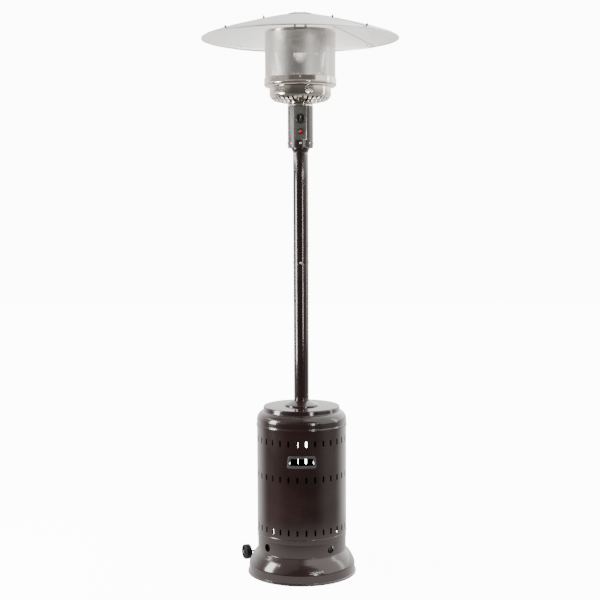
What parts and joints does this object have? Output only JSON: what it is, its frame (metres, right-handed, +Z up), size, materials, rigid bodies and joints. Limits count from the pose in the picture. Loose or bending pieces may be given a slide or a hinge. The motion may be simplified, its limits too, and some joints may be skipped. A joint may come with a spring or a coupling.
{
  "type": "outdoor heater",
  "caption": "Mushroom-type propane patio heater: round ballast base, lift-up bottle housing with handle openings, two-piece pole, control head, burner screen and domed reflector.",
  "frame": {"origin": "on the floor, on the upright axis of the pole", "axes": "+Z up along the pole, -Y towards the front with the controls, +X to the right seen from the front"},
  "size_m": [0.8122, 0.8092, 2.3368],
  "materials": {
    "bronze_paint": "gloss bronze-brown powder coat",
    "tank_plastic": "blow-moulded black plastic",
    "polished_steel": "polished stainless steel",
    "screen_steel": "brushed stainless steel sheet",
    "reflector_aluminium": "satin aluminium sheet",
    "zinc_plate": "zinc-plated steel",
    "screw_steel": "bright plated steel",
    "wheel_rubber": "black rubber",
    "black_metal": "satin black paint",
    "black_plastic": "gloss black plastic",
    "trim_plastic": "dark grey plastic",
    "panel_grey": "satin grey paint",
    "button_red": "gloss red plastic",
    "valve_brass": "plain brass"
  },
  "bodies": {
    "stand": {"base_shell": "bronze_paint", "lower_collar": "bronze_paint", "support_leg_1": "bronze_paint", "support_leg_2": "bronze_paint", "support_leg_3": "bronze_paint", "top_plate": "bronze_paint", "lower_pole": "bronze_paint", "upper_pole": "bronze_paint", "head_adapter": "bronze_paint", "control_housing": "bronze_paint", "ballast_tank": "tank_plastic", "tank_cap": "tank_plastic", "bowl_neck": "polished_steel", "burner_bowl": "polished_steel", "upper_bowl_ring": "polished_steel", "screen_band": "polished_steel", "emitter_screen": "screen_steel", "screen_lid": "screen_steel", "main_burner": "screen_steel", "reflector_panel_front": "reflector_aluminium", "reflector_panel_right": "reflector_aluminium", "reflector_panel_back": "reflector_aluminium", "reflector_panel_left": "reflector_aluminium", "crown_plate": "reflector_aluminium", "pole_socket": "zinc_plate", "pole_coupler": "zinc_plate", "wheel_axle": "zinc_plate", "axle_nut_left": "zinc_plate", "axle_nut_right": "zinc_plate", "crown_nut_left": "zinc_plate", "crown_nut_right": "zinc_plate", "reflector_post_left": "zinc_plate", "reflector_post_right": "zinc_plate", "regulator": "zinc_plate", "regulator_strap": "zinc_plate", "pilot_bracket": "zinc_plate", "joint_screw_front": "screw_steel", "joint_screw_right": "screw_steel", "joint_screw_back": "screw_steel", "joint_screw_left": "screw_steel", "gas_hose": "wheel_rubber", "wheel_bracket": "black_metal", "igniter_bezel": "black_plastic", "piezo_igniter": "black_plastic", "control_panel": "panel_grey", "gas_valve": "valve_brass", "thermocouple": "valve_brass"},
    "tank_housing": {"housing_shell": "bronze_paint", "housing_cap": "bronze_paint", "handle_trim_front": "trim_plastic", "handle_trim_rear": "trim_plastic", "pole_escutcheon": "bronze_paint"},
    "wheel_left": {"wheel_left_tyre": "wheel_rubber"},
    "wheel_right": {"wheel_right_tyre": "wheel_rubber"},
    "valve_stem": {"valve_stem": "screw_steel"},
    "control_knob": {"control_knob": "black_plastic"},
    "igniter_button": {"igniter_button": "button_red"},
    "coupling_nut": {"coupling_nut": "black_plastic"}
  },
  "joints": [
    {"name": "housing_lift", "type": "slide", "parent": "stand", "child": "tank_housing", "axis": [0, 0, 1], "range_m": [0, 0.45]},
    {"name": "wheel_left_spin", "type": "hinge", "parent": "stand", "child": "wheel_left", "pos_m": [-0.24043, 0.14884, 0.0365], "axis": [-0.9063, -0.4226, 0], "continuous": true},
    {"name": "wheel_right_spin", "type": "hinge", "parent": "stand", "child": "wheel_right", "pos_m": [0.04053, 0.27985, 0.0365], "axis": [-0.9063, -0.4226, 0], "continuous": true},
    {"name": "knob_push", "type": "slide", "parent": "stand", "child": "valve_stem", "axis": [0, 1, 0], "range_m": [0, 0.004], "stiffness_N_per_m": 800},
    {"name": "knob_turn", "type": "hinge", "parent": "valve_stem", "child": "control_knob", "pos_m": [0, -0.05244, 1.89799], "axis": [0, -1, 0], "range_deg": [0, 210]},
    {"name": "igniter_press", "type": "slide", "parent": "stand", "child": "igniter_button", "axis": [0, 1, 0], "range_m": [0, 0.006], "stiffness_N_per_m": 600},
    {"name": "coupling_nut_turn", "type": "hinge", "parent": "stand", "child": "coupling_nut", "pos_m": [0, 0, 0.586], "axis": [0, 0, 1], "continuous": true}
  ]
}
